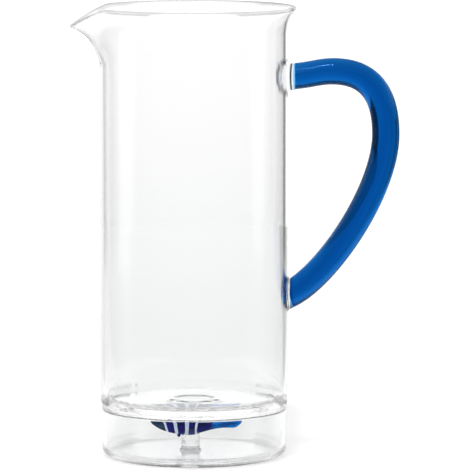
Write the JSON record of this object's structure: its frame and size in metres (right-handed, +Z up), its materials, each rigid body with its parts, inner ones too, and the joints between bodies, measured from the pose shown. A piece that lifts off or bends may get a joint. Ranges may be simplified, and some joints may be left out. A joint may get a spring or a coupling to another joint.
{
  "type": "glass jug",
  "caption": "Tall cylindrical clear glass jug with a flared rim, a drawn spout, a bent blue glass handle and a closed display base that holds a small striped glass fish on a clear post.",
  "frame": {"origin": "centre of the base's flat bottom, on the tube's axis", "axes": "+Z up along the tube, +X towards the handle, -X towards the spout, +Y across"},
  "size_m": [0.1752, 0.1088, 0.24],
  "materials": {
    "clear_glass": "clear, fire-polished",
    "blue_glass": "clear tinted blue, fire-polished",
    "slate_glass": "opaque slate blue, glossy",
    "indigo_glass": "opaque indigo, glossy",
    "white_glass": "opaque bluish white, glossy",
    "light_blue_glass": "tinted light blue, glossy",
    "black_glass": "opaque black, glossy"
  },
  "bodies": {
    "root": {"vessel": "clear_glass", "seam_bead": "clear_glass", "base_cup": "clear_glass", "post": "clear_glass", "handle_weld_upper": "clear_glass", "handle_weld_lower": "clear_glass", "handle": "blue_glass", "fish_head": "slate_glass", "fish_body_1": "indigo_glass", "fish_body_2": "indigo_glass", "fish_body_3": "indigo_glass", "fish_body_4": "indigo_glass", "fish_band_1": "white_glass", "fish_band_2": "white_glass", "fish_band_3": "white_glass", "fish_band_4": "white_glass", "fish_tail": "light_blue_glass", "fish_belly_fin": "indigo_glass", "fish_back_fin": "indigo_glass", "fish_eye_left": "black_glass", "fish_eye_right": "black_glass"}
  },
  "joints": []
}
